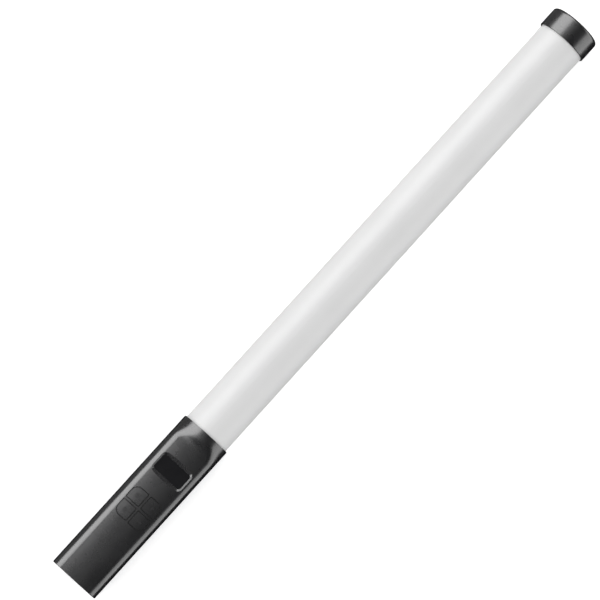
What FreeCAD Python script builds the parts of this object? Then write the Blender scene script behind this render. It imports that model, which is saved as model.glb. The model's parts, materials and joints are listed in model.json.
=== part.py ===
"""LED light tube: a hand-held light wand with a rechargeable grip, an opal tube and a round end cap.

Modelled lying on its back, keys up.  The helpers work in the axis frame: x runs along the wand from the
grip's open end (0) to the far end of the cap, y runs across, and z is the height above the tube's axis.
save() moves every solid into the part's own frame, whose origin is at the centre of the bottom of the box.
Units are millimetres.
"""
import FreeCAD, Part
import math
import os

V = FreeCAD.Vector

# ---------------------------------------------------------------- driving dimensions
total_len = 506.0        # grip end to cap end
handle_len = 131.5       # grip, end to mouth
handle_d = 37.5          # grip and cap diameter
cap_len = 15.5
tube_d = 35.0            # opal tube, outside
tube_wall = 1.6
wall = 1.8               # grip shells

# the grip's section: a circle with a crowned flat on the key side, joined by round corners
face_height = 12.0       # crown of the flat above the axis
face_crown_r = 78.0
corner_r = 6.8
blend_len = 12.8         # the flat runs out into the round mouth over this length
crease_slope = 0.15      # 0 fades the crease at the flat's end, 1 makes it sharp
blend_stations = 8
mouth_land = 2.0         # round stretch at the mouth, which the tube sinks into
ledge_t = 1.6            # ledge inside the mouth that the tube's end stands on
ledge_w = 0.6            # how far the ledge reaches under the tube's edge
split_z = -1.5           # parting plane of the two shells
end_edge_r = 0.5         # softened edge of the grip's end
lip_h = 1.2              # lip of the rear shell, inside the front shell along the parting line
lip_groove_gap = 0.1     # above the lip
lip_x0 = 4.0
lip_end_gap = 3.0        # from the lip to the tube collar

# clearances
fit_gap = 0.1            # between parts that are pushed or laid together
slide_gap = 0.58         # round each key, in the shell
touch_gap = 0.05         # between a moving part and its stop
board_gap = 0.4          # round the bosses that pass the main board
past = 1.0               # how far a cutting shape runs past what it cuts

# screen
screen_x = 97.25         # centre of the screen, from the grip end
screen_w = 23.6          # lens, across the grip
screen_l = 12.2          # lens, along the grip
screen_corner_r = 1.8
bevel_run = 1.28         # the recess's sides go out this far for each mm they rise
lens_top_z = 9.95        # flat top of the lens
lens_t = 1.0
lens_ledge = 1.2         # shelf that the lens is glued to
pad_bottom_z = 8.0       # inside face of the thickened window area
window_margin_l = 3.0    # thickened area beyond the lens, along the grip
window_margin_w = 1.4    # and across it
panel_l = 15.2
panel_w = 24.4
panel_t = 1.4
flex_l = 1.8             # flat cable out of the panel's edge
flex_w = 8.0
flex_t = 0.3
bracket_l = 16.4
bracket_w = 23.2
bracket_rim = 1.6

# keys
keys_x = 64.0            # centre of the four keys
key_block_w = 23.4       # outer faces of the keys, across the grip
key_block_l = 22.6       # outer faces of the keys, along the grip
key_rib = 1.25           # shell rib between two keys
key_outer_r = 4.8        # corner of a key at the corner of the block
key_inner_r = 0.7        # its other corners
key_proud = 0.12         # key face above the shell
key_pad_z = 9.0          # flat inside face that the key flanges stop on
key_margin_l = 2.2       # flat inside face beyond the keys, along the grip
key_margin_w = 1.6       # and across it
key_flange_t = 1.0
key_flange_out = 0.9
key_flange_gap = 0.25    # from the flange's edge to the curved inside of the shell
key_travel = 0.4
key_stem_d = 3.0
key_stem_under = 0.4     # stem below the flange
icon_depth = 0.25
icon_line = 0.5
icon_size = 3.0
icon_bar_over = 0.5      # the on/off sign's bar beyond its ring

# main board
board_t = 1.6
board_w = 24.0
board_x0 = 4.8
board_x1 = 107.5

# switches
switch_side = 6.0
switch_t = 1.5
plunger_d = 3.3
switch_floor = 0.4
plunger_spare = 0.15     # left of the plunger above the body when the key is down
plunger_in = 0.5         # reaches into the body

# shell screws and board screws
shell_screw_x = (11.0, 111.5)
shell_screw_y = 9.5
boss_d = 5.2
shell_screw_d = 2.2
shell_screw_head_d = 4.2
shell_screw_head_t = 1.5
shell_screw_seat = 2.4   # material under the head
shell_screw_bite = 7.0   # thread length in the front boss
head_pocket_gap = 0.2
pilot_spare = 0.5        # hole beyond a screw's tip
cross_l = 2.4            # cross recess in the head
cross_w = 0.5
cross_depth = 0.7
board_screw_x = (23.0, 82.0)
board_screw_y = 8.6
post_d = 4.4
board_screw_d = 1.8
board_screw_head_d = 3.4
board_screw_head_t = 1.1
board_screw_bite = 2.6

# grip end plate and tripod insert
plate_recess = 0.8
plate_t = 3.8
flange_x0 = 1.7          # plate flange, held in a groove of the shells
flange_t = 1.6
flange_depth = 1.0
insert_z = -3.0          # tripod thread, below the tube's axis
insert_d = 9.5
insert_len = 9.2
insert_flange_d = 12.0
insert_flange_t = 1.5
thread_minor_r = 2.6     # 1/4 inch, 20 turns to the inch
thread_depth = 8.2

# charging socket
usb_w = 8.94
usb_h = 3.26
usb_len = 7.35
usb_wall = 0.3
usb_front = 0.9
usb_slot_gap = 0.2
usb_base_t = 1.6
tongue_w = 6.7
tongue_t = 0.7
tongue_inset = 0.6       # tongue's tip behind the socket's front

# electronics on the key side of the board; sizes are length, width, height
controller_x = 37.5
controller_size = (7.0, 7.0, 1.0)
inductor_x = 18.0
inductor_size = (6.0, 6.0, 2.8)
inductor_edge_r = 0.8
driver_size = (3.0, 4.0, 0.9)
charger_x = 26.5
charger_y = 3.6
driver_x = 45.5
driver_pitch = 7.5
chip_size = (1.6, 0.8, 0.6)
supply_row = (30.5, 2.5, 7)    # x, pitch, number of resistors and capacitors
switch_row = (79.0, 2.0, 5)
side_chips_x = (36.0, 39.0)
side_chips_y = 9.4

# connectors on the cell side of the board
battery_plug_size = (5.0, 6.0, 3.2)
battery_plug_gap = 6.0   # from the cell
led_plug_size = (6.0, 11.2, 3.4)
led_plug_gap = 1.0       # from the board's end

# cell
cell_d = 18.4
cell_len = 65.2
cell_x0 = 17.0
cell_top_gap = 1.6       # to the underside of the board
cell_edge_r = 0.8
tab_t = 0.4
tab_side = 6.0
cradle_len = 60.0
cradle_half_w = 8.0
cradle_stop_t = 1.5
cradle_stop_gap = 0.6
cradle_beam_w = 5.0
foam_w = 6.0
foam_end_gap = 12.5      # from the ends of the cell
cell_lead_y = 1.5
cell_lead_rise = 1.0     # above the cell's axis
cell_lead_out = 3.2      # bend beyond the tab at the tube end
cell_lead_back = 1.4     # and at the grip end
cell_lead_gap = 1.2      # from the wire's centre to the cell's side

# tube collar and end plug
collar_x0 = 115.3
collar_flange_x = 118.5
collar_wall = 1.5
web_t = 4.0
spigot_len = 13.0
ring_minor = 0.68
ring_gap = 0.02
ring_groove_w = 1.7
ring_groove_floor = 1.4  # groove's floor inside the tube's bore
ring_from_end = 3.0
plug_len = 11.0
wire_gap = 0.9           # round the wires that pass the collar
link_gap = 0.5           # round the wires in the plug

# cap
cap_end_t = 3.0
cap_edge_r = 2.3
cap_mouth_r = 0.5

# light engine
spine_in_grip = 1.5
spine_end_gap = 9.0      # to the far end of the cap
spine_t = 3.0
rail_h = 8.0
rail_t = 1.5
spine_gap = 0.95         # from the rails' corners to the inside of the collar and the plug
spine_screw_y = 6.0
spine_screw_d = 2.0
spine_screw_head_d = 3.8
spine_screw_head_t = 1.4
spine_screw_bite = 7.0
strip_t = 1.2
strip_side_gap = 1.25    # from a LED board's edge to the rail
strip_end_gap = 3.0
led_side = 5.0
led_t = 1.5
led_pitch = 10.0
led_first = 24.0         # from a LED board's end to its first row
led_last_gap = 5.0
lead_d = 1.2
lead_pitch = 3.0
lead_landing = 8.0       # from a LED board's end to the wires' ends
link_y = 1.6
link_landing = 2.5
link_out = 1.0           # beyond the spine

# which quarter each key fills: along the grip, +1 towards the screen, and across it
KEYS = {"power": (1, 1), "plus": (1, -1), "mode": (-1, 1), "minus": (-1, -1)}

# ---------------------------------------------------------------- worked out from the above
R = handle_d / 2
tube_r = tube_d / 2
bore_r = tube_r - tube_wall
blend_x1 = handle_len - mouth_land
blend_x0 = blend_x1 - blend_len
plunger_up = key_travel + plunger_spare
board_top = key_pad_z - touch_gap - key_flange_t - key_stem_under - plunger_up - switch_t
board_bottom = board_top - board_t
cell_z = board_bottom - cell_top_gap - cell_d / 2
tube_x0 = blend_x1
tube_x1 = total_len - cap_end_t
socket_r = bore_r - fit_gap - collar_wall
spine_w = 2 * math.sqrt((socket_r - spine_gap) ** 2 - (rail_h / 2) ** 2) - rail_t
spine_x0 = handle_len - spine_in_grip
spine_x1 = total_len - spine_end_gap
strip_w = spine_w - rail_t - 2 * strip_side_gap
led_row_y = strip_w / 4
wire_z = spine_t / 2 + strip_t + lead_d / 2
battery_plug_x = cell_x0 + cell_len + battery_plug_gap


# ---------------------------------------------------------------- helpers
def box(x0, x1, y0, y1, z0, z1):
    return Part.makeBox(x1 - x0, y1 - y0, z1 - z0, V(x0, y0, z0))


def block(x, y, size, z0):
    """A box of length, width and height, centred on x and y and standing on z0."""
    length, width, height = size
    return box(x - length / 2, x + length / 2, y - width / 2, y + width / 2, z0, z0 + height)


def rod(radius, start, axis, length):
    return Part.makeCylinder(radius, length, V(*start), V(*axis))


def along_x(radius, x0, x1, y=0.0, z=0.0):
    return rod(radius, (x0, y, z), (1, 0, 0), x1 - x0)


def along_z(radius, x, y, z0, z1):
    return rod(radius, (x, y, z0), (0, 0, 1), z1 - z0)


def joined(shapes):
    first, rest = shapes[0], shapes[1:]
    return first.fuse(rest).removeSplitter() if rest else first


def ring_x(outer, inner, x0, x1):
    return along_x(outer, x0, x1).cut(along_x(inner, x0 - past, x1 + past))


def slab(x0, x1):
    """Everything between two planes across the wand."""
    return box(x0, x1, -handle_d, handle_d, -handle_d, handle_d)


def rounded_rect(x0, x1, y0, y1, z, radii):
    """A closed level wire.  radii are for the corners (x0,y0), (x1,y0), (x1,y1), (x0,y1)."""
    corners = [(x0, y0), (x1, y0), (x1, y1), (x0, y1)]
    turns = [(1, 1), (-1, 1), (-1, -1), (1, -1)]
    points = []
    for i, ((cx, cy), (sx, sy), r) in enumerate(zip(corners, turns, radii)):
        centre = V(cx + sx * r, cy + sy * r, z)
        start, end = V(cx, cy + sy * r, z), V(cx + sx * r, cy, z)
        if i % 2:
            start, end = end, start
        middle = centre + V(-sx, -sy, 0) * (r / math.sqrt(2))
        points.append((start, middle, end))
    edges = []
    for i, (start, middle, end) in enumerate(points):
        edges.append(Part.Arc(start, middle, end).toShape())
        following = points[(i + 1) % 4][0]
        if (following - end).Length > 1e-6:
            edges.append(Part.LineSegment(end, following).toShape())
    return Part.Wire(edges)


def prism(wire, height):
    return Part.Face(wire).extrude(V(0, 0, height))


# ---------------------------------------------------------------- the grip's envelope
def corner_centre():
    """Centre of the corner arc, which is tangent to the big circle and to the crown."""
    crown_z = face_height - face_crown_r
    z = (crown_z**2 - (face_crown_r - corner_r) ** 2 + (R - corner_r) ** 2) / (2 * crown_z)
    return math.sqrt((R - corner_r) ** 2 - z**2), z


def corner_angles():
    """Angles from straight up where the outline changes from crown to corner and to circle."""
    y, z = corner_centre()
    return math.atan2(y, z - (face_height - face_crown_r)), math.atan2(y, z)


def outline(x, inset, share):
    """The grip's section at x, moved inwards by inset: fully flattened at share 1, round at share 0.

    Its four arcs always change at the same angles, so each stretch of the surface keeps its direction."""
    crown, corner = corner_angles()
    cy, cz = corner_centre()

    def mixed(flattened, rounded):
        return share * flattened + (1 - share) * rounded

    def point(angle, radius, centre_y=0.0, centre_z=0.0):
        return V(x, centre_y + radius * math.sin(angle), centre_z + radius * math.cos(angle))

    def arc(a0, a1, radius, centre_y=0.0, centre_z=0.0):
        ends = [point(a, radius, centre_y, centre_z) for a in (a0, (a0 + a1) / 2, a1)]
        return Part.Arc(*ends).toShape()

    crown_arc_r = mixed(face_crown_r, R) - inset
    crown_arc_z = share * (face_height - face_crown_r)
    small_r = mixed(corner_r, R) - inset
    full_turn = 2 * math.pi
    return Part.Wire(
        [
            arc(-crown, crown, crown_arc_r, 0.0, crown_arc_z),
            arc(crown, corner, small_r, share * cy, share * cz),
            arc(corner, full_turn - corner, R - inset),
            arc(-corner, -crown, small_r, -share * cy, share * cz),
        ]
    )


def run_out(inset):
    """The stretch where the flat rises into the round mouth: tangent at the mouth, creased at the flat."""
    wires = []
    for i in range(blend_stations + 1):
        v = 1 - i / blend_stations
        share = v**2 * (3 - crease_slope - (2 - crease_slope) * v)
        wires.append(outline(blend_x1 - v * blend_len, inset, share))
    return Part.makeLoft(wires, True, False)


def envelope(inset, x0=0.0, x1=None):
    """Solid grip from x0 to x1 (the mouth, if not given) with its surface moved inwards by inset.

    Above the axis it has the flat and its run-out.  Below the axis it is one plain half cylinder."""
    x1 = handle_len if x1 is None else x1
    upper_half = box(x0, x1, -handle_d, handle_d, 0, handle_d)
    lower_half = box(x0, x1, -handle_d, handle_d, -handle_d, 0)
    stretches = [along_x(R - inset, x0, x1).common(lower_half)]
    if x0 < blend_x0:
        flattened = Part.Face(outline(x0, inset, 1)).extrude(V(min(x1, blend_x0) - x0, 0, 0))
        stretches.append(flattened.common(upper_half))
    if x0 < blend_x1 and x1 > blend_x0:
        stretches.append(run_out(inset).common(upper_half))
    if x1 > blend_x1:
        stretches.append(along_x(R - inset, max(x0, blend_x1), x1).common(upper_half))
    return joined(stretches)


# ---------------------------------------------------------------- shapes shared by several parts
def key_corners(sx, sy, grow):
    """x0, x1, y0, y1 and corner radii of a key's outline, grown outwards; sx and sy say which quarter."""
    near = key_rib / 2 + slide_gap - grow
    far_x, far_y = key_block_l / 2 + grow, key_block_w / 2 + grow
    xs = sorted((keys_x + sx * near, keys_x + sx * far_x))
    ys = sorted((sy * near, sy * far_y))
    outer, inner = key_outer_r + grow, key_inner_r + max(grow, 0) / 2
    place = {(-1, -1): 0, (1, -1): 1, (1, 1): 2, (-1, 1): 3}[(sx, sy)]
    radii = [outer if i == place else inner for i in range(4)]
    return xs[0], xs[1], ys[0], ys[1], radii


def key_outline(sx, sy, grow, z):
    x0, x1, y0, y1, radii = key_corners(sx, sy, grow)
    return rounded_rect(x0, x1, y0, y1, z, radii)


def key_centre(sx, sy):
    x0, x1, y0, y1, _ = key_corners(sx, sy, 0.0)
    return (x0 + x1) / 2, (y0 + y1) / 2


def screen_outline(grow, z):
    w, l = screen_w / 2 + grow, screen_l / 2 + grow
    r = screen_corner_r + grow
    return rounded_rect(screen_x - l, screen_x + l, -w, w, z, [r] * 4)


def screen_bevel():
    """The sloped sides of the screen's recess, from the lens up past the surface."""
    rise = face_height - lens_top_z + past
    low = screen_outline(0.0, lens_top_z)
    high = screen_outline(rise * bevel_run, lens_top_z + rise)
    return Part.makeLoft([low, high], True, True)


def usb_outline(grow, x0, x1):
    half_h = usb_h / 2 + grow
    half_w = usb_w / 2 + grow
    z = board_top + usb_h / 2
    body = box(x0, x1, -half_w + half_h, half_w - half_h, z - half_h, z + half_h)
    return joined([body] + [along_x(half_h, x0, x1, s * (half_w - half_h), z) for s in (-1, 1)])


def shell_screw_places():
    return [(x, s * shell_screw_y) for x in shell_screw_x for s in (-1, 1)]


def board_screw_places():
    return [(x, s * board_screw_y) for x in board_screw_x for s in (-1, 1)]


def screw_head_top(y):
    """Height of the seat that a shell screw's head pulls against."""
    return -math.sqrt((R - wall) ** 2 - y**2) + shell_screw_seat


def grooves():
    """Slots inside both shells for the flanges of the end plate and of the tube collar."""
    cut = []
    for x in (flange_x0, collar_flange_x):
        cut.append(envelope(wall - flange_depth, x - fit_gap, x + flange_t + fit_gap))
    return cut


def hollow_grip():
    body = envelope(0.0)
    body = body.makeFillet(end_edge_r, [e for e in body.Edges if e.BoundBox.XMax < 0.01])
    cavity = envelope(wall, -past, blend_x1 - ledge_t)
    throat = envelope(wall, blend_x1 - ledge_t, blend_x1).common(along_x(tube_r - ledge_w, 0, blend_x1))
    socket = along_x(tube_r + fit_gap, blend_x1, handle_len + past)
    return body.cut([cavity, throat, socket])


def rabbet(side_gap, top_gap):
    """The step along the parting line: the rear shell's lip, and the groove for it in the front shell."""
    x1 = collar_x0 - lip_end_gap
    ring = envelope(wall / 2 + side_gap, lip_x0, x1).cut(envelope(wall, lip_x0 - past, x1 + past))
    return ring.common(box(lip_x0, x1, -R, R, split_z, split_z + lip_h + top_gap))


# ---------------------------------------------------------------- the grip's shells
def front_shell():
    shell = hollow_grip().common(box(-past, handle_len + past, -handle_d, handle_d, split_z, handle_d))
    skin = envelope(wall / 2)
    key_area = (key_block_l + 2 * key_margin_l, key_block_w + 2 * key_margin_w, face_height - key_pad_z)
    key_pad = block(keys_x, 0.0, key_area, key_pad_z).common(skin)
    window_l = screen_l + 2 * window_margin_l
    window_w = screen_w + 2 * window_margin_w
    window_area = (window_l, window_w, face_height - pad_bottom_z)
    window_pad = block(screen_x, 0.0, window_area, pad_bottom_z).common(skin)
    columns = [along_z(boss_d / 2, x, y, split_z, face_height) for x, y in shell_screw_places()]
    columns += [along_z(post_d / 2, x, y, board_top, face_height) for x, y in board_screw_places()]
    shell = joined([shell, key_pad, window_pad] + [column.common(skin) for column in columns])
    for x, y in shell_screw_places():
        tip = split_z + shell_screw_bite + pilot_spare
        shell = shell.cut(along_z(shell_screw_d / 2 + touch_gap, x, y, split_z - past, tip))
    for x, y in board_screw_places():
        tip = board_top + board_screw_bite + pilot_spare
        shell = shell.cut(along_z(board_screw_d / 2 + touch_gap, x, y, board_top - past, tip))
    for sx, sy in KEYS.values():
        shell = shell.cut(prism(key_outline(sx, sy, slide_gap, key_pad_z - past), face_height))
    shell = shell.cut(screen_bevel())
    shell = shell.cut(prism(screen_outline(0.0, lens_top_z - lens_t), lens_t))
    view_h = lens_top_z - pad_bottom_z + past
    shell = shell.cut(prism(screen_outline(-lens_ledge, pad_bottom_z - past), view_h))
    return shell.cut(grooves() + [rabbet(0.0, lip_groove_gap)])


def rear_shell():
    shell = hollow_grip().common(box(-past, handle_len + past, -handle_d, handle_d, -handle_d, split_z))
    skin = envelope(wall / 2)
    bosses = [along_z(boss_d / 2, x, y, -R, split_z).common(skin) for x, y in shell_screw_places()]
    shell = joined([shell] + bosses)
    for x, y in shell_screw_places():
        seat = screw_head_top(y)
        shell = shell.cut(along_z(shell_screw_head_d / 2 + head_pocket_gap, x, y, -handle_d, seat))
        shell = shell.cut(along_z(shell_screw_d / 2 + fit_gap, x, y, seat - past, split_z + past))
    return joined([shell.cut(grooves()), rabbet(fit_gap, 0.0)])


def shell_screws():
    screws = []
    for x, y in shell_screw_places():
        seat = screw_head_top(y)
        low = seat - shell_screw_head_t
        head = along_z(shell_screw_head_d / 2, x, y, low, seat)
        sizes = [(cross_l, cross_w, cross_depth), (cross_w, cross_l, cross_depth)]
        cross = [block(x, y, size, low) for size in sizes]
        shank = along_z(shell_screw_d / 2, x, y, seat, split_z + shell_screw_bite)
        screws.append(joined([head.cut(cross), shank]))
    return Part.makeCompound(screws)


def end_plate():
    back = plate_recess + plate_t
    plate = envelope(wall + fit_gap, plate_recess, back)
    flange = envelope(wall - flange_depth + fit_gap, flange_x0, flange_x0 + flange_t)
    slot = usb_outline(usb_slot_gap, -past, back + past)
    return joined([plate, flange]).cut([slot, along_x(insert_d / 2, -past, back + past, 0, insert_z)])


def tripod_insert():
    back = plate_recess + plate_t
    bush = along_x(insert_d / 2, plate_recess, plate_recess + insert_len, 0, insert_z)
    flange = along_x(insert_flange_d / 2, back, back + insert_flange_t, 0, insert_z)
    bore = along_x(thread_minor_r, plate_recess - past, plate_recess + thread_depth, 0, insert_z)
    return joined([bush, flange]).cut(bore)


# ---------------------------------------------------------------- screen
def screen_lens():
    return prism(screen_outline(-fit_gap, lens_top_z - lens_t), lens_t)


def display_module():
    low = pad_bottom_z - panel_t
    panel = block(screen_x, 0.0, (panel_l, panel_w, panel_t), low)
    tail = block(screen_x + (panel_l + flex_l) / 2, 0.0, (flex_l, flex_w, flex_t), low)
    return joined([panel, tail])


def display_bracket():
    height = pad_bottom_z - panel_t - board_top
    frame = block(screen_x, 0.0, (bracket_l, bracket_w, height), board_top)
    opening = (bracket_l - 2 * bracket_rim, bracket_w - 2 * bracket_rim, height + 2 * past)
    return frame.cut(block(screen_x, 0.0, opening, board_top - past))


# ---------------------------------------------------------------- keys and switches
def icon_cuts(name, x, y, top):
    """Shallow engraved sign on a key: generic on/off, plus, minus and mode marks."""
    z0 = top - icon_depth
    depth = icon_depth + past
    crosswise = block(x, y, (icon_line, icon_size, depth), z0)
    if name == "plus":
        return [block(x, y, (icon_size, icon_line, depth), z0), crosswise]
    if name == "minus":
        return [crosswise]
    radius = icon_size / 2
    ring = along_z(radius, x, y, z0, z0 + depth)
    ring = ring.cut(along_z(radius - icon_line, x, y, z0 - past, z0 + depth + past))
    if name == "mode":
        return [ring, along_z(icon_line, x, y, z0, z0 + depth)]
    bar_l = radius + icon_bar_over
    bar = block(x + bar_l / 2, y, (bar_l, icon_line, depth), z0)
    gap = block(x + bar_l / 2, y, (bar_l, 3 * icon_line, depth + 2 * past), z0 - past)
    return [ring.cut(gap), bar]


def face_z(y):
    """Height of the flattened face at y, away from its corners."""
    return face_height - face_crown_r + math.sqrt(face_crown_r**2 - y**2)


def key(name, sx, sy):
    skin = envelope(-key_proud)
    low = key_pad_z - touch_gap
    middle = low - key_flange_t / 2
    cap = prism(key_outline(sx, sy, 0.0, middle), face_height).common(skin)
    flange = prism(key_outline(sx, sy, key_flange_out, low - key_flange_t), key_flange_t)
    flange = flange.common(envelope(wall + key_flange_gap))
    x, y = key_centre(sx, sy)
    stem = along_z(key_stem_d / 2, x, y, board_top + switch_t + plunger_up, middle)
    return joined([cap, flange, stem]).cut(icon_cuts(name, x, y, face_z(y) + key_proud))


def plunger(sx, sy):
    x, y = key_centre(sx, sy)
    top = board_top + switch_t
    return along_z(plunger_d / 2, x, y, top - plunger_in, top + plunger_up)


def switch_bodies():
    made = []
    for sx, sy in KEYS.values():
        x, y = key_centre(sx, sy)
        body = block(x, y, (switch_side, switch_side, switch_t), board_top)
        well_z = board_top + switch_floor
        well = along_z(plunger_d / 2 + touch_gap, x, y, well_z, well_z + switch_t)
        made.append(body.cut(well))
    return Part.makeCompound(made)


# ---------------------------------------------------------------- boards and electronics
def main_board():
    board = box(board_x0, board_x1, -board_w / 2, board_w / 2, board_bottom, board_top)
    low, high = board_bottom - past, board_top + past
    radius = boss_d / 2 + board_gap
    cuts = []
    for x, y in shell_screw_places():
        side = math.copysign(board_w, y)
        notch = box(x - radius, x + radius, min(y, side), max(y, side), low, high)
        cuts += [along_z(radius, x, y, low, high), notch]
    for x, y in board_screw_places():
        cuts.append(along_z(board_screw_d / 2 + fit_gap, x, y, low, high))
    return board.cut(cuts)


def board_screws():
    screws = []
    for x, y in board_screw_places():
        head = along_z(board_screw_head_d / 2, x, y, board_bottom - board_screw_head_t, board_bottom)
        shank = along_z(board_screw_d / 2, x, y, board_bottom, board_top + board_screw_bite)
        screws.append(joined([head, shank]))
    return Part.makeCompound(screws)


def usb_shell():
    end = usb_front + usb_len
    return usb_outline(0.0, usb_front, end).cut(usb_outline(-usb_wall, usb_front - past, end - usb_wall))


def usb_tongue():
    back = usb_front + usb_len - usb_wall
    base = usb_outline(-usb_wall, back - usb_base_t, back)
    low = board_top + (usb_h - tongue_t) / 2
    start, end = usb_front + tongue_inset, back - usb_base_t / 2
    return joined([base, box(start, end, -tongue_w / 2, tongue_w / 2, low, low + tongue_t)])


def controller_chip():
    return block(controller_x, 0.0, controller_size, board_top)


def power_inductor():
    coil = block(inductor_x, 0.0, inductor_size, board_top)
    upright = [e for e in coil.Edges if e.BoundBox.ZLength > inductor_size[2] / 2]
    return coil.makeFillet(inductor_edge_r, upright)


def driver_chips():
    places = [(charger_x, s * charger_y) for s in (-1, 1)]
    places += [(driver_x, i * driver_pitch) for i in (-1, 0, 1)]
    return Part.makeCompound([block(x, y, driver_size, board_top) for x, y in places])


def small_parts():
    """Resistors and capacitors on the key side of the board."""
    places = [(x, s * side_chips_y) for x in side_chips_x for s in (-1, 1)]
    for x, pitch, number in (supply_row, switch_row):
        places += [(x, (i - (number - 1) / 2) * pitch) for i in range(number)]
    return Part.makeCompound([block(x, y, chip_size, board_top) for x, y in places])


def battery_connector():
    length, _, height = battery_plug_size
    return block(battery_plug_x + length / 2, 0.0, battery_plug_size, board_bottom - height)


def led_connector():
    length, _, height = led_plug_size
    return block(board_x1 - led_plug_gap - length / 2, 0.0, led_plug_size, board_bottom - height)


# ---------------------------------------------------------------- cell
def battery_cell():
    body = along_x(cell_d / 2, cell_x0, cell_x0 + cell_len, 0, cell_z)
    return body.makeFillet(cell_edge_r, [e for e in body.Edges if e.Closed and e.BoundBox.XLength < 0.01])


def battery_tabs():
    size = (tab_t, tab_side, tab_side)
    ends = (cell_x0 - tab_t / 2, cell_x0 + cell_len + tab_t / 2)
    return Part.makeCompound([block(x, 0.0, size, cell_z - tab_side / 2) for x in ends])


def battery_cradle():
    """Saddle between the rear shell and the cell, with a stop at each end."""
    inside_r = R - wall
    middle = cell_x0 + cell_len / 2
    low_half = box(0, handle_len, -cradle_half_w, cradle_half_w, -R, cell_z - cell_d / 4)
    saddle = along_x(inside_r, middle - cradle_len / 2, middle + cradle_len / 2)
    saddle = saddle.common(low_half).cut(along_x(cell_d / 2 + fit_gap, 0, handle_len, 0, cell_z))
    first = cell_x0 - tab_t - cradle_stop_gap - cradle_stop_t
    last = cell_x0 + cell_len + tab_t + cradle_stop_gap
    stops = [along_x(inside_r, x, x + cradle_stop_t).common(low_half) for x in (first, last)]
    floor = box(0, handle_len, -cradle_beam_w / 2, cradle_beam_w / 2, -R, cell_z - cell_d / 2 - fit_gap)
    beam = along_x(inside_r, first, last + cradle_stop_t).common(floor)
    return joined([saddle, beam] + stops)


def battery_pad():
    """Foam strip between the cell and the board's underside."""
    low = board_bottom - cell_top_gap + touch_gap
    x0, x1 = cell_x0 + foam_end_gap, cell_x0 + cell_len - foam_end_gap
    return box(x0, x1, -foam_w / 2, foam_w / 2, low, board_bottom)


def lead(points):
    """Round wire through points: straight runs joined by ball joints."""
    radius = lead_d / 2
    parts = []
    for a, b in zip(points, points[1:]):
        a, b = V(*a), V(*b)
        parts.append(Part.makeCylinder(radius, (b - a).Length, a, b - a))
    parts += [Part.makeSphere(radius, V(*p)) for p in points[1:-1]]
    return joined(parts)


def battery_leads():
    """One wire from each end of the cell, led up to the connector under the board."""
    y, low = cell_lead_y, cell_z + cell_lead_rise
    high = board_bottom - battery_plug_size[2] / 2
    start, end = cell_x0 - tab_t, cell_x0 + cell_len + tab_t
    turn = end + cell_lead_out
    positive = lead([(end, y, low), (turn, y, low), (turn, y, high), (battery_plug_x, y, high)])
    side = -cell_d / 2 - cell_lead_gap
    back = start - cell_lead_back
    path = [(start, -y, low), (back, -y, low), (back, side, low)]
    path += [(turn, side, low), (turn, side, high), (turn, -y, high), (battery_plug_x, -y, high)]
    return Part.makeCompound([positive, lead(path)])


# ---------------------------------------------------------------- collar, tube and cap
def ring_cut(x):
    return ring_x(R, bore_r - ring_groove_floor, x - ring_groove_w / 2, x + ring_groove_w / 2)


def o_ring(x):
    return Part.makeTorus(bore_r - ring_minor - ring_gap, ring_minor, V(x, 0, 0), V(1, 0, 0))


def spine_holes(x0, x1):
    return [along_x(spine_screw_d / 2 + touch_gap, x0, x1, s * spine_screw_y) for s in (-1, 1)]


def tube_collar():
    inset = wall + fit_gap
    base_x1 = blend_x1 - ledge_t - fit_gap
    end = blend_x1 + spigot_len
    base = envelope(inset, collar_x0, base_x1)
    flange = envelope(wall - flange_depth + fit_gap, collar_flange_x, collar_flange_x + flange_t)
    spigot = along_x(bore_r - fit_gap, base_x1, end)
    collar = joined([base, flange, spigot])
    web_x0 = spine_x0 - web_t
    collar = collar.cut(envelope(inset + collar_wall, collar_x0 - past, web_x0))
    collar = collar.cut(along_x(socket_r, spine_x0, end + past))
    half_w = 1.5 * lead_pitch + lead_d / 2 + wire_gap
    half_h = lead_d / 2 + wire_gap
    slot = box(web_x0 - past, spine_x0 + past, -half_w, half_w, wire_z - half_h, wire_z + half_h)
    collar = collar.cut(slot)
    collar = collar.cut(spine_holes(web_x0 - past, spine_x0 + past))
    return collar.cut(ring_cut(end - ring_from_end))


def spine_screw(x, direction):
    """Screw whose head seats at x and whose shank runs along direction (+1 or -1)."""
    made = []
    for s in (-1, 1):
        y = s * spine_screw_y
        head = rod(spine_screw_head_d / 2, (x, y, 0), (-direction, 0, 0), spine_screw_head_t)
        shank = rod(spine_screw_d / 2, (x, y, 0), (direction, 0, 0), web_t + spine_screw_bite)
        made.append(joined([head, shank]))
    return Part.makeCompound(made)


def led_spine():
    web = box(spine_x0, spine_x1, -spine_w / 2, spine_w / 2, -spine_t / 2, spine_t / 2)
    rails = []
    for s in (-1, 1):
        y = s * spine_w / 2
        rails.append(box(spine_x0, spine_x1, y - rail_t / 2, y + rail_t / 2, -rail_h / 2, rail_h / 2))
    depth = spine_screw_bite + pilot_spare
    holes = spine_holes(spine_x0 - past, spine_x0 + depth) + spine_holes(spine_x1 - depth, spine_x1 + past)
    return joined([web] + rails).cut(holes)


def led_board(side):
    z0, z1 = sorted((side * spine_t / 2, side * (spine_t / 2 + strip_t)))
    return box(spine_x0 + strip_end_gap, spine_x1 - strip_end_gap, -strip_w / 2, strip_w / 2, z0, z1)


def led_chips(side):
    """Two rows of colour and white packages on one board."""
    first = spine_x0 + strip_end_gap + led_first
    count = int((spine_x1 - strip_end_gap - led_last_gap - first) / led_pitch) + 1
    low = spine_t / 2 + strip_t
    z0, z1 = sorted((side * low, side * (low + led_t)))
    size = (led_side, led_side, z1 - z0)
    places = [(first + i * led_pitch, y) for i in range(count) for y in (-led_row_y, led_row_y)]
    return Part.makeCompound([block(x, y, size, z0) for x, y in places])


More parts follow.
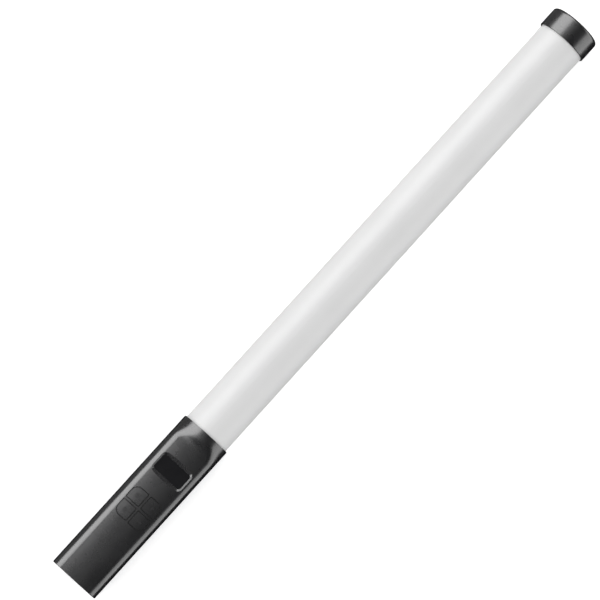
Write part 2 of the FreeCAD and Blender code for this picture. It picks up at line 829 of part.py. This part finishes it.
def led_leads():
    start, end = board_x1 - led_plug_gap, spine_x0 + strip_end_gap + lead_landing
    rows = [(i - 1.5) * lead_pitch for i in range(4)]
    return Part.makeCompound([lead([(start, y, wire_z), (end, y, wire_z)]) for y in rows])


def board_links():
    """Wires that carry the supply round the far end of the spine to the rear board."""
    pad, out = spine_x1 - strip_end_gap - link_landing, spine_x1 + link_out
    made = []
    for y in (-link_y, link_y):
        made.append(lead([(pad, y, wire_z), (out, y, wire_z), (out, y, -wire_z), (pad, y, -wire_z)]))
    return Part.makeCompound(made)


def diffuser_tube():
    return ring_x(tube_r, bore_r, tube_x0, tube_x1)


def end_plug():
    x0, web_x0 = tube_x1 - plug_len, spine_x1
    plug = along_x(bore_r - fit_gap, x0, tube_x1)
    plug = plug.cut(along_x(socket_r, x0 - past, web_x0))
    plug = plug.cut(along_x(socket_r, web_x0 + web_t, tube_x1 + past))
    plug = plug.cut(spine_holes(web_x0 - past, web_x0 + web_t + past))
    room = lead_d / 2 + link_gap
    half_w, half_h = link_y + room, wire_z + room
    plug = plug.cut(box(web_x0 - past, web_x0 + link_out + room, -half_w, half_w, -half_h, half_h))
    return plug.cut(ring_cut(x0 + ring_from_end))


def top_cap():
    cap = along_x(R, total_len - cap_len, total_len)
    end_edges = [e for e in cap.Edges if e.Closed and e.BoundBox.XMin > total_len - 0.01]
    cap = cap.makeFillet(cap_edge_r, end_edges)
    mouth = total_len - cap_len + 0.01
    cap = cap.makeFillet(cap_mouth_r, [e for e in cap.Edges if e.Closed and e.BoundBox.XMax < mouth])
    return cap.cut(along_x(tube_r + fit_gap, total_len - cap_len - past, total_len - cap_end_t))


# ---------------------------------------------------------------- assembly
def save(name, shape):
    """Writes one node's solids, moved into the part's own frame."""
    placed = shape.copy()
    placed.translate(V(-total_len / 2, 0, R))
    solids = placed.Solids
    bad = [s for s in solids if not s.isValid() or s.Volume <= 0]
    if not solids or bad:
        raise ValueError(f"{name}: {len(solids)} solids, {len(bad)} of them bad")
    out = solids[0] if len(solids) == 1 else Part.makeCompound(solids)
    out.exportStep(f"parts/{name}.step")
    print(f"{name:20s} {len(solids):3d} solids {sum(s.Volume for s in solids):10.1f} mm3")


def main():
    os.makedirs("parts", exist_ok=True)
    parts = {
        "front_shell": front_shell(),
        "rear_shell": rear_shell(),
        "shell_screws": shell_screws(),
        "end_plate": end_plate(),
        "tripod_insert": tripod_insert(),
        "screen_lens": screen_lens(),
        "display_module": display_module(),
        "display_bracket": display_bracket(),
        "switch_bodies": switch_bodies(),
        "main_board": main_board(),
        "board_screws": board_screws(),
        "usb_shell": usb_shell(),
        "usb_tongue": usb_tongue(),
        "controller_chip": controller_chip(),
        "power_inductor": power_inductor(),
        "driver_chips": driver_chips(),
        "small_parts": small_parts(),
        "battery_connector": battery_connector(),
        "led_connector": led_connector(),
        "battery_cell": battery_cell(),
        "battery_tabs": battery_tabs(),
        "battery_cradle": battery_cradle(),
        "battery_pad": battery_pad(),
        "battery_leads": battery_leads(),
        "tube_collar": tube_collar(),
        "collar_ring": o_ring(blend_x1 + spigot_len - ring_from_end),
        "collar_screws": spine_screw(spine_x0 - web_t, 1),
        "led_spine": led_spine(),
        "led_board_front": led_board(1),
        "led_board_rear": led_board(-1),
        "led_chips_front": led_chips(1),
        "led_chips_rear": led_chips(-1),
        "led_leads": led_leads(),
        "board_links": board_links(),
        "diffuser_tube": diffuser_tube(),
        "end_plug": end_plug(),
        "plug_ring": o_ring(tube_x1 - plug_len + ring_from_end),
        "plug_screws": spine_screw(spine_x1 + web_t, -1),
        "top_cap": top_cap(),
    }
    for name, (sx, sy) in KEYS.items():
        parts[f"key_{name}"] = key(name, sx, sy)
        parts[f"plunger_{name}"] = plunger(sx, sy)
    for name, shape in parts.items():
        save(name, shape)


main()
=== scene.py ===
"""LED light tube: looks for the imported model, on a pale floor under soft studio light."""
import json
import math

import bmesh
import bpy
from mathutils import Matrix, Vector


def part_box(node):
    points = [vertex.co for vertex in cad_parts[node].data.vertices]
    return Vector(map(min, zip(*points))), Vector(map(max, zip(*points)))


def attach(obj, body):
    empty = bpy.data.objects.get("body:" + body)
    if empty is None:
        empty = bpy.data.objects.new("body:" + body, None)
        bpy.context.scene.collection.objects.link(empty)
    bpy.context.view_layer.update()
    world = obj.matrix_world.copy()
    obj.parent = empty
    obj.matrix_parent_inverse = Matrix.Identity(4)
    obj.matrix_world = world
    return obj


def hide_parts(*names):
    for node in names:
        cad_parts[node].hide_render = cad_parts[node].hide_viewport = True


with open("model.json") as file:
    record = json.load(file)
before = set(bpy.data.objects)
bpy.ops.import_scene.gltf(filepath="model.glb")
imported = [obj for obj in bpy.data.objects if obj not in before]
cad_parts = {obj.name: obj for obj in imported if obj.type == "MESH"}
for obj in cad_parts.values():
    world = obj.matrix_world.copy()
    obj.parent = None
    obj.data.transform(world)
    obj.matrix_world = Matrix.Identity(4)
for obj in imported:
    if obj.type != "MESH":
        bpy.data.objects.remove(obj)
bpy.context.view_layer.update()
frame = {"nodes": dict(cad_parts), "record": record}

MM = 0.001

# ---------------------------------------------------------------- places, all from the frame
CAP_LOW, CAP_HIGH = (Vector(corner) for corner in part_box("top_cap"))
INSERT_LOW, INSERT_HIGH = (Vector(corner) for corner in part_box("tripod_insert"))
TONGUE_LOW, TONGUE_HIGH = (Vector(corner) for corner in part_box("usb_tongue"))
LENS_LOW, LENS_HIGH = (Vector(corner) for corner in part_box("screen_lens"))
AXIS_Z = (CAP_LOW.z + CAP_HIGH.z) / 2
MOUNTS = {mount["name"]: mount for mount in frame["record"]["mounts"]}

# ---------------------------------------------------------------- camera
CAMERA_DISTANCE = 2.507
CAMERA_LENS = 223.3
SENSOR_WIDTH = 36
CLIP_NEAR = 0.1
CLIP_FAR = 50
LEAN = math.radians(4.8)          # the camera leans towards the grip's end, off straight above
WAND_TILT = math.radians(47.77)   # the wand's slope in the picture
LOOK_AT = Vector((-0.0120, 0.01374, AXIS_Z))


def add_camera():
    along = Vector((math.cos(LEAN), 0, math.sin(LEAN)))
    across = Vector((0, -1, 0))
    right = math.cos(WAND_TILT) * along + math.sin(WAND_TILT) * across
    up = math.sin(WAND_TILT) * along - math.cos(WAND_TILT) * across
    back = Vector((-math.sin(LEAN), 0, math.cos(LEAN)))
    data = bpy.data.cameras.new("camera")
    data.lens = CAMERA_LENS
    data.sensor_width = SENSOR_WIDTH
    data.clip_start = CLIP_NEAR
    data.clip_end = CLIP_FAR
    camera = bpy.data.objects.new("camera", data)
    place = Matrix((right, up, back)).transposed().to_4x4()
    place.translation = LOOK_AT + CAMERA_DISTANCE * back
    camera.matrix_world = place
    bpy.context.collection.objects.link(camera)
    bpy.context.scene.camera = camera


# ---------------------------------------------------------------- floor and light
BOX_DISTANCE = 1.6
BOX_REACH = 4.0         # the boxes end this far beyond the middle of the wand
FLOOR_HALF = 6.0
FLOOR_TONE = 0.93
FLOOR_ROUGHNESS = 0.9
FLOOR_GLOW = 0.46       # the floor shines a little itself, so that it reads white
CARD_HEIGHT = 1.0 * MM
WORLD_GREY = 0.40


def grey(level):
    return (level, level, level)


def add_floor():
    mesh = bpy.data.meshes.new("floor")
    corners = [(x * FLOOR_HALF, y * FLOOR_HALF, 0) for x, y in ((-1, -1), (1, -1), (1, 1), (-1, 1))]
    mesh.from_pydata(corners, [], [(0, 1, 2, 3)])
    floor = bpy.data.objects.new("floor", mesh)
    bpy.context.collection.objects.link(floor)
    material = bpy.data.materials.new("floor")
    material.use_nodes = True
    shader = material.node_tree.nodes["Principled BSDF"]
    shader.inputs["Base Color"].default_value = (*grey(FLOOR_TONE), 1)
    shader.inputs["Roughness"].default_value = FLOOR_ROUGHNESS
    shader.inputs["Emission Color"].default_value = (1, 1, 1, 1)
    shader.inputs["Emission Strength"].default_value = FLOOR_GLOW
    mesh.materials.append(material)
    floor.visible_glossy = False


def add_lamp(name, location, turn, length, width, radiance, gloss):
    """A flat lamp that only gloss sees, or that only diffuse surfaces see."""
    data = bpy.data.lights.new(name, "AREA")
    data.shape = "RECTANGLE"
    data.size = length
    data.size_y = width
    data.energy = radiance * math.pi * length * width
    lamp = bpy.data.objects.new(name, data)
    lamp.location = location
    lamp.rotation_euler = (turn, 0, 0)
    lamp.visible_camera = False
    lamp.visible_glossy = gloss
    lamp.visible_diffuse = not gloss
    bpy.context.collection.objects.link(lamp)


def add_softbox(name, start, stop, radiance, gloss, low_x=-BOX_REACH):
    """A long box beside the wand, seen from it between two angles off straight up, towards +Y."""
    half = math.radians(stop - start) / 2
    turn = math.radians(start + stop) / 2
    place = ((low_x + BOX_REACH) / 2, BOX_DISTANCE * math.sin(turn), AXIS_Z + BOX_DISTANCE * math.cos(turn))
    width = 2 * BOX_DISTANCE * math.tan(half)
    add_lamp(name, place, -turn, BOX_REACH - low_x, width, radiance, gloss)


def add_floor_card(name, near, far, radiance):
    """A card just above the floor, which the lower side of the dark plastic mirrors."""
    place = (0, (near + far) / 2, CARD_HEIGHT)
    add_lamp(name, place, math.pi, 2 * BOX_REACH, far - near, radiance, gloss=True)


def add_world():
    world = bpy.data.worlds.new("studio")
    bpy.context.scene.world = world
    world.use_nodes = True
    world.node_tree.nodes["Background"].inputs["Color"].default_value = (*grey(WORLD_GREY), 1)
    world.cycles_visibility.glossy = False


def add_studio():
    add_world()
    add_softbox("left_box", start=25, stop=80, radiance=9.2, gloss=True)
    add_softbox("left_feather", start=12, stop=25, radiance=1.7, gloss=True)
    add_softbox("top_fringe", start=-8, stop=12, radiance=0.55, gloss=True)
    add_softbox("right_box", start=-106, stop=-56, radiance=4.3, gloss=True, low_x=-0.9)
    add_floor_card("left_card", near=0.035, far=0.35, radiance=0.25)
    add_softbox("sky_box", start=-28, stop=57, radiance=0.86, gloss=False)
    scene = bpy.context.scene
    scene.view_settings.view_transform = "Standard"
    scene.view_settings.look = "None"


# ---------------------------------------------------------------- materials
MATERIALS = {}


class Shader:
    """A Principled material, kept in MATERIALS under its name, with helpers that add its nodes."""

    def __init__(self, name, **constants):
        material = bpy.data.materials.new(name)
        material.use_nodes = True
        MATERIALS[name] = material
        self.tree = material.node_tree
        self.bsdf = self.tree.nodes["Principled BSDF"]
        place = self.tree.nodes.new("ShaderNodeTexCoord")
        self.place = place.outputs["Object"]
        self.facing = place.outputs["Normal"]
        for socket, value in constants.items():
            self.bsdf.inputs[socket.replace("_", " ")].default_value = value

    def node(self, kind, **settings):
        made = self.tree.nodes.new(kind)
        for key, value in settings.items():
            setattr(made, key, value)
        return made

    def link(self, source, target):
        self.tree.links.new(source, target)

    def stretched(self, scale):
        mapping = self.node("ShaderNodeMapping")
        mapping.inputs["Scale"].default_value = scale
        self.link(self.place, mapping.inputs["Vector"])
        return mapping.outputs["Vector"]

    def noise(self, size, detail=4.0, roughness=0.55, stretch=(1, 1, 1)):
        """Noise whose lumps are about size metres across."""
        made = self.node("ShaderNodeTexNoise")
        made.inputs["Scale"].default_value = 1 / size
        made.inputs["Detail"].default_value = detail
        made.inputs["Roughness"].default_value = roughness
        self.link(self.stretched(stretch), made.inputs["Vector"])
        return made.outputs["Fac"]

    def axis(self, vector, letter):
        made = self.node("ShaderNodeSeparateXYZ")
        self.link(vector, made.inputs[0])
        return made.outputs[letter]

    def math(self, operation, *values):
        """A Math node; each value is a number or another node's output."""
        made = self.node("ShaderNodeMath", operation=operation)
        for i, value in enumerate(values):
            if isinstance(value, (int, float)):
                made.inputs[i].default_value = value
            else:
                self.link(value, made.inputs[i])
        return made.outputs[0]

    def range(self, source, low, high, from_low=0.3, from_high=0.7):
        made = self.node("ShaderNodeMapRange")
        ends = {"From Min": from_low, "From Max": from_high, "To Min": low, "To Max": high}
        for socket, value in ends.items():
            made.inputs[socket].default_value = value
        self.link(source, made.inputs["Value"])
        return made.outputs["Result"]

    def mix(self, factor, first, second):
        made = self.node("ShaderNodeMix", data_type="RGBA")
        made.inputs["A"].default_value = (*first, 1)
        made.inputs["B"].default_value = (*second, 1)
        self.link(factor, made.inputs["Factor"])
        return made.outputs["Result"]

    def tone(self, lump, dark, light):
        """Colour that drifts between two tones in patches about lump metres across."""
        self.colour(self.mix(self.range(self.noise(lump), 0, 1), dark, light))

    def colour(self, source):
        self.link(source, self.bsdf.inputs["Base Color"])

    def roughness(self, source):
        self.link(source, self.bsdf.inputs["Roughness"])

    def bump(self, source, height):
        """Surface relief; height is in metres.  Each call adds to the one before."""
        made = self.node("ShaderNodeBump")
        made.inputs["Strength"].default_value = 1.0
        made.inputs["Distance"].default_value = height
        self.link(source, made.inputs["Height"])
        target = self.bsdf.inputs["Normal"]
        if target.is_linked:
            self.link(target.links[0].from_socket, made.inputs["Normal"])
        self.link(made.outputs["Normal"], target)


def moulded_plastic(name, dark, light, low_rough, high_rough):
    shader = Shader(name)
    shader.tone(20 * MM, dark, light)
    shader.roughness(shader.range(shader.noise(12 * MM, detail=6), low_rough, high_rough))
    shader.bump(shader.noise(0.25 * MM, detail=2), 0.0025 * MM)
    return shader


RECESS_REACH = 3.0 * MM        # the recess's sloped sides end this near the lens, along the grip
RECESS_SIDE = 1.5 * MM         # and across it
SIDEWAYS = 0.4                 # the normal of a slope at the side has more than this of sideways in it
RECESS_ROUGH = 0.22            # those slopes are this much rougher than the flat


def grip_plastic(dark, light, low_rough, high_rough):
    """The grip's plastic, with a coarser finish on the left and right slopes of the screen's recess."""
    shader = moulded_plastic("grip_plastic", dark, light, low_rough, high_rough)
    middle = (LENS_LOW + LENS_HIGH) / 2
    half = (LENS_HIGH - LENS_LOW) / 2
    near_x = shader.math("COMPARE", shader.axis(shader.place, "X"), middle.x, half.x + RECESS_REACH)
    near_y = shader.math("COMPARE", shader.axis(shader.place, "Y"), middle.y, half.y + RECESS_SIDE)
    sideways = shader.math("ABSOLUTE", shader.axis(shader.facing, "Y"))
    sloped = shader.math("GREATER_THAN", sideways, SIDEWAYS)
    recess = shader.math("MULTIPLY", shader.math("MULTIPLY", near_x, near_y), sloped)
    plain = shader.bsdf.inputs["Roughness"].links[0].from_socket
    shader.roughness(shader.math("MULTIPLY_ADD", recess, RECESS_ROUGH, plain))


def opal_plastic():
    shader = Shader("opal_plastic", Roughness=0.36, Specular_IOR_Level=0.11)
    shader.tone(50 * MM, grey(0.72), grey(0.75))
    shader.bump(shader.noise(0.4 * MM, detail=2), 0.002 * MM)


def polished_lens(name):
    shader = Shader(name, Specular_IOR_Level=0.15)
    shader.tone(10 * MM, (0.005, 0.005, 0.006), (0.008, 0.008, 0.009))
    shader.roughness(shader.range(shader.noise(6 * MM, detail=6), 0.05, 0.12))


METAL_DARKENING = 0.85         # a metal's darker patches, as a share of its tone


def metal(name, tone, low_rough, high_rough, brush=(1, 1, 1), relief=0.0012 * MM):
    shader = Shader(name, Metallic=1.0)
    shader.tone(4 * MM, tuple(METAL_DARKENING * part for part in tone), tone)
    shader.roughness(shader.range(shader.noise(0.6 * MM, stretch=brush), low_rough, high_rough))
    shader.bump(shader.noise(0.2 * MM, stretch=brush), relief)


def circuit_board():
    shader = Shader("circuit_board", Roughness=0.35)
    tracks = shader.node("ShaderNodeTexBrick")
    looks = {
        "Scale": 160,
        "Mortar Size": 0.04,
        "Color1": (0.01, 0.10, 0.05, 1),
        "Color2": (0.012, 0.13, 0.06, 1),
        "Mortar": (0.02, 0.20, 0.10, 1),
    }
    for socket, value in looks.items():
        tracks.inputs[socket].default_value = value
    shader.link(shader.place, tracks.inputs["Vector"])
    shader.colour(tracks.outputs["Color"])
    shader.bump(tracks.outputs["Fac"], 0.02 * MM)


PATCH_LUMPS = 6                # a patch of tone is this many relief lumps across


def soft_stuff(name, dark, light, lump, relief, rough):
    shader = Shader(name, Roughness=rough)
    shader.tone(PATCH_LUMPS * lump, dark, light)
    shader.bump(shader.noise(lump), relief)


def make_materials():
    black, black_light = (0.012, 0.012, 0.013), (0.016, 0.016, 0.017)
    grip_plastic(black, black_light, 0.24, 0.30)
    moulded_plastic("key_plastic", black, black_light, 0.24, 0.30)
    moulded_plastic("white_plastic", (0.70, 0.69, 0.64), (0.76, 0.75, 0.70), 0.40, 0.50)
    moulded_plastic("chip_plastic", grey(0.02), grey(0.03), 0.45, 0.60)
    moulded_plastic("switch_plastic", grey(0.05), grey(0.07), 0.40, 0.50)
    moulded_plastic("frame_plastic", grey(0.07), grey(0.09), 0.45, 0.60)
    polished_lens("lens_glass")
    polished_lens("display_panel")
    opal_plastic()
    metal("brass", (0.78, 0.58, 0.28), 0.20, 0.30, relief=0.0006 * MM)
    metal("screw_steel", (0.10, 0.10, 0.105), 0.30, 0.45)
    metal("plated_steel", (0.70, 0.69, 0.67), 0.18, 0.30)
    metal("spine_aluminium", (0.80, 0.80, 0.81), 0.22, 0.38, brush=(0.05, 1, 1))
    circuit_board()
    soft_stuff("cell_sleeve", (0.06, 0.20, 0.36), (0.08, 0.25, 0.42), 3 * MM, 0.02 * MM, 0.3)
    soft_stuff("foam", grey(0.03), grey(0.05), 0.6 * MM, 0.2 * MM, 0.9)
    soft_stuff("wire_sleeve", (0.42, 0.03, 0.02), (0.50, 0.05, 0.03), 1 * MM, 0.01 * MM, 0.45)
    soft_stuff("seal_rubber", grey(0.015), grey(0.03), 0.8 * MM, 0.02 * MM, 0.6)
    soft_stuff("led_board", (0.82, 0.82, 0.80), (0.88, 0.88, 0.86), 2 * MM, 0.01 * MM, 0.4)
    soft_stuff("led_packages", (0.80, 0.62, 0.12), (0.86, 0.72, 0.22), 1.5 * MM, 0.02 * MM, 0.3)


def dress_nodes():
    slots = {part["node"]: part["material_slot"] for part in frame["record"]["subparts"]}
    for name, piece in frame["nodes"].items():
        piece.data.materials.clear()
        piece.data.materials.append(MATERIALS[slots[name]])


# ---------------------------------------------------------------- modelled pieces
THREAD_PITCH = 1.27 * MM       # quarter inch thread, 20 turns to the inch
THREAD_HEIGHT = 0.5 * MM
THREAD_SIDES = 64
THREAD_STEPS = 14              # rows to a turn
INSERT_BUSH_R = 4.75 * MM
INSERT_FLANGE_X = 3.8 * MM     # flange's front face, from the insert's front
INSERT_FLANGE_T = 1.5 * MM
INSERT_CHAMFER = 0.2 * MM
GROOVE_HALF_WIDTH = 0.44       # as a share of the pitch
BORE_END = 0.5                 # radius of the bore's flat end, as a share of the minor radius
SHARP_ANGLE = math.radians(35)
CONTACTS = 12                  # on each face of the socket's tongue
CONTACT_PITCH = 0.5 * MM
CONTACT_W = 0.26 * MM
CONTACT_L = 4.2 * MM
CONTACT_T = 0.03 * MM
CONTACT_SETBACK = 0.5 * MM
TONGUE_THICKNESS = 0.7 * MM


def new_piece(name, mesh, body, material):
    piece = bpy.data.objects.new(name, mesh)
    bpy.context.collection.objects.link(piece)
    piece.data.materials.append(material)
    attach(piece, body)
    return piece


def thread_radius(x, turn, minor):
    """Radius of the threaded bore at depth x: flat crests at the minor radius, with V grooves between."""
    phase = (x / THREAD_PITCH - turn) % 1.0
    groove = max(0.0, 1.0 - abs(phase - 0.5) / GROOVE_HALF_WIDTH)
    return minor + THREAD_HEIGHT * groove


def threaded_insert(material):
    """The tripod insert with its thread cut: one closed shape, turned round the bore's axis."""
    mount = MOUNTS["tripod_thread"]
    minor, depth = mount["dims"]["r_mm"] * MM, mount["dims"]["length_mm"] * MM
    front, back = INSERT_LOW.x, INSERT_HIGH.x
    axis_y, axis_z = mount["pos_m"][1], mount["pos_m"][2]
    flange_r = (INSERT_HIGH.y - INSERT_LOW.y) / 2
    flange_x = front + INSERT_FLANGE_X
    mesh = bmesh.new()
    lead_in = minor + THREAD_HEIGHT + INSERT_CHAMFER

    def ring(x, radius):
        made = []
        for i in range(THREAD_SIDES):
            turn = i / THREAD_SIDES
            r = radius(x, turn) if callable(radius) else radius
            angle = 2 * math.pi * turn
            made.append(mesh.verts.new((x, axis_y + r * math.sin(angle), axis_z + r * math.cos(angle))))
        return made

    rings = [ring(back, INSERT_BUSH_R - INSERT_CHAMFER), ring(back - INSERT_CHAMFER, INSERT_BUSH_R)]
    rings += [ring(flange_x + INSERT_FLANGE_T, INSERT_BUSH_R), ring(flange_x + INSERT_FLANGE_T, flange_r)]
    rings += [ring(flange_x, flange_r), ring(flange_x, INSERT_BUSH_R)]
    rings += [ring(front + INSERT_CHAMFER, INSERT_BUSH_R), ring(front, INSERT_BUSH_R - INSERT_CHAMFER)]
    rings += [ring(front, lead_in)]
    rows = int(THREAD_STEPS * depth / THREAD_PITCH)
    for row in range(1, rows + 1):
        x = depth * row / rows
        widest = max(minor, lead_in - x)
        rings.append(ring(front + x, lambda at, turn: max(widest, thread_radius(at - front, turn, minor))))
    rings.append(ring(front + depth, minor * BORE_END))
    for one, two in zip(rings, rings[1:]):
        for i in range(THREAD_SIDES):
            j = (i + 1) % THREAD_SIDES
            mesh.faces.new((one[i], one[j], two[j], two[i]))
    mesh.faces.new(rings[0][::-1])
    mesh.faces.new(rings[-1])
    bmesh.ops.recalc_face_normals(mesh, faces=mesh.faces)
    for face in mesh.faces:
        face.smooth = True
    data = bpy.data.meshes.new("threaded_insert")
    mesh.to_mesh(data)
    mesh.free()
    data.set_sharp_from_angle(angle=SHARP_ANGLE)
    piece = new_piece("threaded_insert", data, "body", material)
    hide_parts("tripod_insert")


def usb_contacts(material):
    """Contact strips on both faces of the socket's tongue."""
    mesh = bmesh.new()
    middle_z = (TONGUE_LOW.z + TONGUE_HIGH.z) / 2
    half_t = TONGUE_THICKNESS / 2
    start = TONGUE_LOW.x + CONTACT_SETBACK
    for side in (-1, 1):
        for i in range(CONTACTS):
            y = (i - (CONTACTS - 1) / 2) * CONTACT_PITCH
            made = bmesh.ops.create_cube(mesh, size=1.0)["verts"]
            bmesh.ops.scale(mesh, verts=made, vec=(CONTACT_L, CONTACT_W, CONTACT_T))
            place = Vector((start + CONTACT_L / 2, y, middle_z + side * (half_t + CONTACT_T / 2)))
            bmesh.ops.translate(mesh, verts=made, vec=place)
    bmesh.ops.bevel(mesh, geom=mesh.edges[:], offset=CONTACT_T / 3, segments=1, affect="EDGES")
    data = bpy.data.meshes.new("usb_contacts")
    mesh.to_mesh(data)
    mesh.free()
    new_piece("usb_contacts", data, "body", material)


# ---------------------------------------------------------------- softened edges
EDGE_SEGMENTS = 2
EDGE_ANGLE = math.radians(32)  # edges sharper than this are rounded
EDGE_RADIUS = {                # in millimetres
    "front_shell": 0.14,
    "rear_shell": 0.14,
    "end_plate": 0.15,
    "key_power": 0.16,
    "key_plus": 0.16,
    "key_mode": 0.16,
    "key_minus": 0.16,
    "screen_lens": 0.12,
    "shell_screws": 0.06,
}


def soften_edges():
    """Moulded edges are never quite sharp: each of these nodes gets a small rounding."""
    for name, radius in EDGE_RADIUS.items():
        bevel = frame["nodes"][name].modifiers.new("soft_edges", "BEVEL")
        bevel.width = radius * MM
        bevel.segments = EDGE_SEGMENTS
        bevel.limit_method = "ANGLE"
        bevel.angle_limit = EDGE_ANGLE
        bevel.use_clamp_overlap = True
        bevel.harden_normals = True


# ---------------------------------------------------------------- making
add_camera()
add_floor()
add_studio()
make_materials()
dress_nodes()
soften_edges()
threaded_insert(MATERIALS["brass"])
usb_contacts(MATERIALS["brass"])
